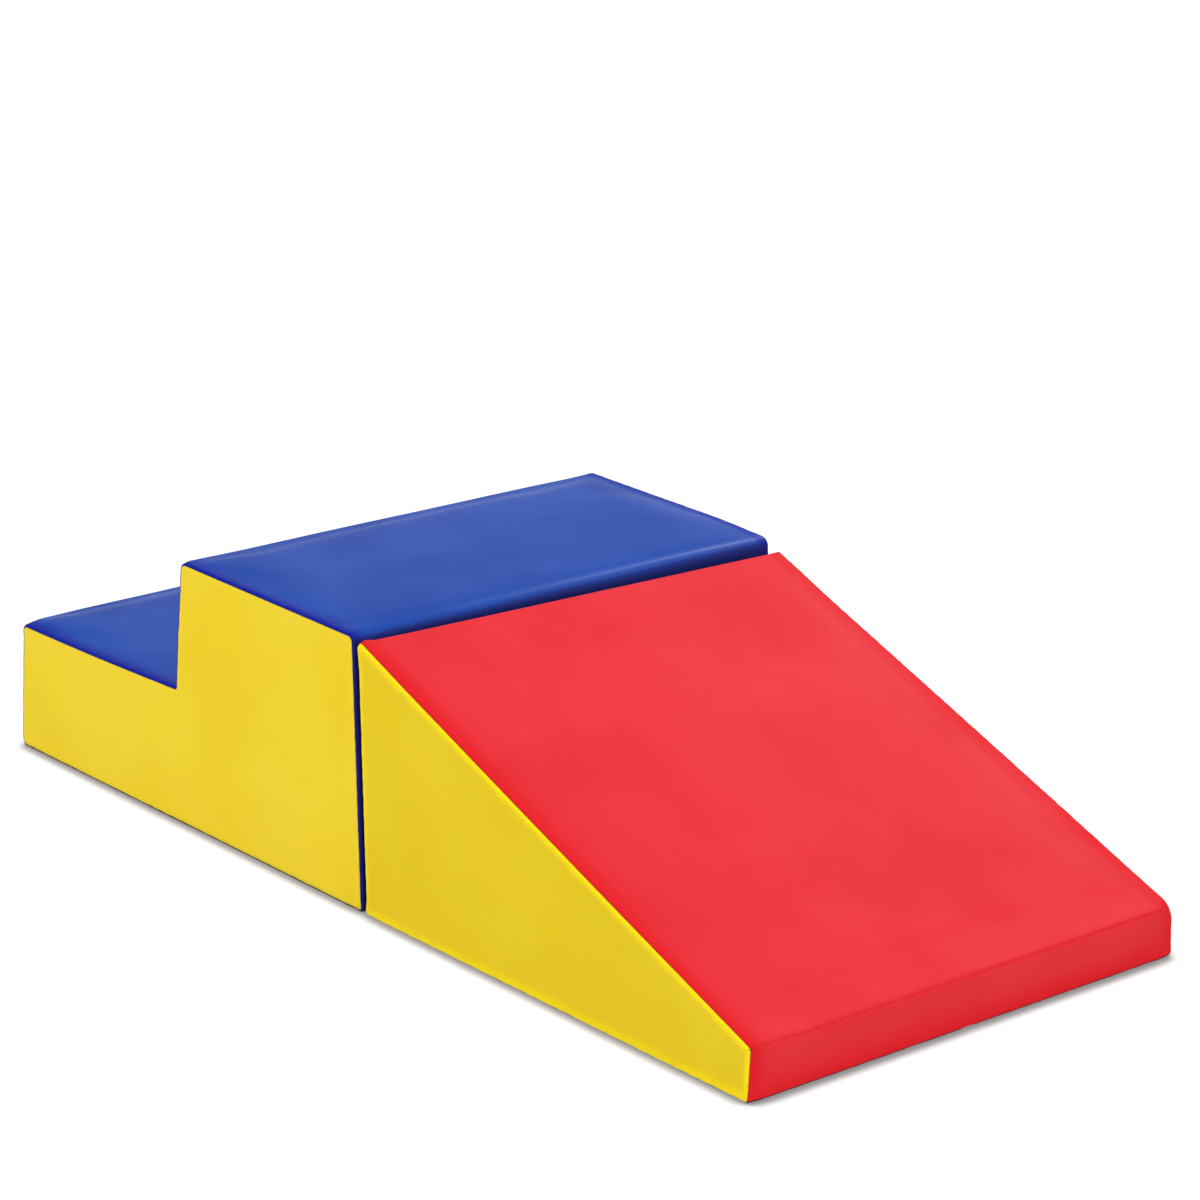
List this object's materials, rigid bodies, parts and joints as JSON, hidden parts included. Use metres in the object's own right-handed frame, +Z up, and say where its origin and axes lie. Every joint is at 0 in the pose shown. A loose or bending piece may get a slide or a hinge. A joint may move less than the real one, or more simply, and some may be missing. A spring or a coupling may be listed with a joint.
{
  "type": "soft play foam climber",
  "caption": "Toddler climber of foam blocks in sewn covers: a block with low steps and a ramp block, held end to end by hook and loop strips, with zips underneath.",
  "frame": {"origin": "on the floor, under the middle of the whole object's bounding box", "axes": "+X from the front of the steps to the toe of the ramp, +Y across the width to the left of a child who climbs the steps, +Z up"},
  "size_m": [1.2938, 0.594, 0.311],
  "materials": {
    "blue_vinyl": "soft satin vinyl",
    "red_vinyl": "soft satin vinyl",
    "yellow_vinyl": "soft satin vinyl",
    "grippy_cloth": "cloth with small rubber dots",
    "foam": "closed-cell foam",
    "hook_and_loop": "woven strip with hooks or loops",
    "zip_tape": "woven tape",
    "zip_coil": "nylon coil",
    "zip_metal": "nickel-plated"
  },
  "bodies": {
    "step_block": {"step_foam_base": "foam", "step_foam_riser": "foam", "step_cover_band": "blue_vinyl", "step_side_panel_left": "yellow_vinyl", "step_side_panel_right": "yellow_vinyl", "step_bottom_panel_left": "grippy_cloth", "step_bottom_panel_right": "grippy_cloth", "step_zip_tape_left": "zip_tape", "step_zip_tape_right": "zip_tape", "step_zip_coil_left": "zip_coil", "step_zip_coil_right": "zip_coil", "step_zip_top_stop": "zip_metal", "step_zip_bottom_stop": "zip_metal", "step_hook_strip_left": "hook_and_loop", "step_hook_strip_right": "hook_and_loop"},
    "step_zip_slider_body": {"step_zip_slider": "zip_metal"},
    "step_zip_pull_body": {"step_zip_pull": "zip_metal"},
    "ramp_block": {"ramp_foam_wedge": "foam", "ramp_cover_band": "red_vinyl", "ramp_side_panel_left": "yellow_vinyl", "ramp_side_panel_right": "yellow_vinyl", "ramp_bottom_panel_left": "grippy_cloth", "ramp_bottom_panel_right": "grippy_cloth", "ramp_zip_tape_left": "zip_tape", "ramp_zip_tape_right": "zip_tape", "ramp_zip_coil_left": "zip_coil", "ramp_zip_coil_right": "zip_coil", "ramp_zip_bottom_stop": "zip_metal", "ramp_zip_top_stop": "zip_metal", "ramp_loop_strip_left": "hook_and_loop", "ramp_loop_strip_right": "hook_and_loop"},
    "ramp_zip_slider_body": {"ramp_zip_slider": "zip_metal"},
    "ramp_zip_pull_body": {"ramp_zip_pull": "zip_metal"}
  },
  "joints": [
    {"name": "ramp_release", "type": "slide", "parent": "step_block", "child": "ramp_block", "axis": [1, 0, 0], "range_m": [0, 0.35]},
    {"name": "step_zip_travel", "type": "slide", "parent": "step_block", "child": "step_zip_slider_body", "axis": [1, 0, 0], "range_m": [0, 0.594]},
    {"name": "step_zip_pull_hinge", "type": "hinge", "parent": "step_zip_slider_body", "child": "step_zip_pull_body", "pos_m": [-0.60785, 0, 0.0022], "axis": [0, 1, 0], "range_deg": [0, 180]},
    {"name": "ramp_zip_travel", "type": "slide", "parent": "ramp_block", "child": "ramp_zip_slider_body", "axis": [-1, 0, 0], "range_m": [0, 0.54]},
    {"name": "ramp_zip_pull_hinge", "type": "hinge", "parent": "ramp_zip_slider_body", "child": "ramp_zip_pull_body", "pos_m": [0.60785, 0, 0.0022], "axis": [0, -1, 0], "range_deg": [0, 180]}
  ]
}
